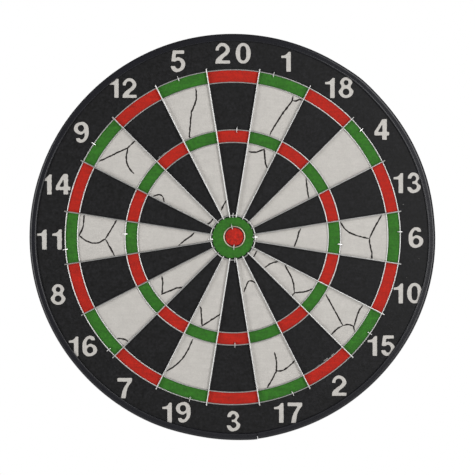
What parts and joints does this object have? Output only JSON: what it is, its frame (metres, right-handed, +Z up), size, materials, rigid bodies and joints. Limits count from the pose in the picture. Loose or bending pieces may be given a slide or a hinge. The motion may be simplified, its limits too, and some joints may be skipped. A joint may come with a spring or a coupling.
{
  "type": "dartboard",
  "caption": "Round wall-hung dartboard: a wound paper disc printed with numbered sectors, a stapled steel wire spider, a plastic edge strip and a hanging ring.",
  "frame": {"origin": "centre of the backing card's rear face, on the disc's axis, where the wall is", "axes": "+Z up with the number 20 at the top, +Y into the wall, -Y out of the scoring face towards the player"},
  "size_m": [0.412, 0.0267, 0.4124],
  "materials": {
    "wound_paper": "matt flock print in black, ivory, red and green over wound paper",
    "bull_fibre": "matt red print",
    "backing_card": "plain grey card",
    "edge_plastic": "satin navy black",
    "spider_steel": "drawn round wire, bright",
    "staple_steel": "bright wire",
    "hanger_steel": "zinc plated"
  },
  "bodies": {
    "board": {"wound_paper_core": "wound_paper", "bullseye_plug": "bull_fibre", "backing_card": "backing_card", "edge_strip": "edge_plastic", "bullseye_wire": "spider_steel", "double_inner_wire": "spider_steel", "double_outer_wire": "spider_steel", "outer_bull_wire": "spider_steel", "treble_inner_wire": "spider_steel", "treble_outer_wire": "spider_steel", "divider_wire_20_1": "spider_steel", "divider_wire_1_18": "spider_steel", "divider_wire_18_4": "spider_steel", "divider_wire_4_13": "spider_steel", "divider_wire_13_6": "spider_steel", "divider_wire_6_10": "spider_steel", "divider_wire_10_15": "spider_steel", "divider_wire_15_2": "spider_steel", "divider_wire_2_17": "spider_steel", "divider_wire_17_3": "spider_steel", "divider_wire_3_19": "spider_steel", "divider_wire_19_7": "spider_steel", "divider_wire_7_16": "spider_steel", "divider_wire_16_8": "spider_steel", "divider_wire_8_11": "spider_steel", "divider_wire_11_14": "spider_steel", "divider_wire_14_9": "spider_steel", "divider_wire_9_12": "spider_steel", "divider_wire_12_5": "spider_steel", "divider_wire_5_20": "spider_steel", "double_staple_01": "staple_steel", "double_staple_02": "staple_steel", "double_staple_03": "staple_steel", "double_staple_04": "staple_steel", "double_staple_05": "staple_steel", "double_staple_06": "staple_steel", "double_staple_07": "staple_steel", "double_staple_08": "staple_steel", "double_staple_09": "staple_steel", "double_staple_10": "staple_steel", "treble_staple_01": "staple_steel", "treble_staple_02": "staple_steel", "treble_staple_03": "staple_steel", "treble_staple_04": "staple_steel", "outer_bull_staple_01": "staple_steel", "outer_bull_staple_02": "staple_steel", "outer_bull_staple_03": "staple_steel", "outer_bull_staple_04": "staple_steel", "bullseye_staple_01": "staple_steel", "bullseye_staple_02": "staple_steel", "hanger_screw_lower": "hanger_steel", "hanger_screw_upper": "hanger_steel", "hanger_strap": "hanger_steel"},
    "hanger_ring": {"hanger_ring": "hanger_steel"}
  },
  "joints": [
    {"name": "hanger_ring_swing", "type": "hinge", "parent": "board", "child": "hanger_ring", "pos_m": [0, 0.0027, 0.17], "axis": [1, 0, 0], "range_deg": [0, 180]}
  ]
}
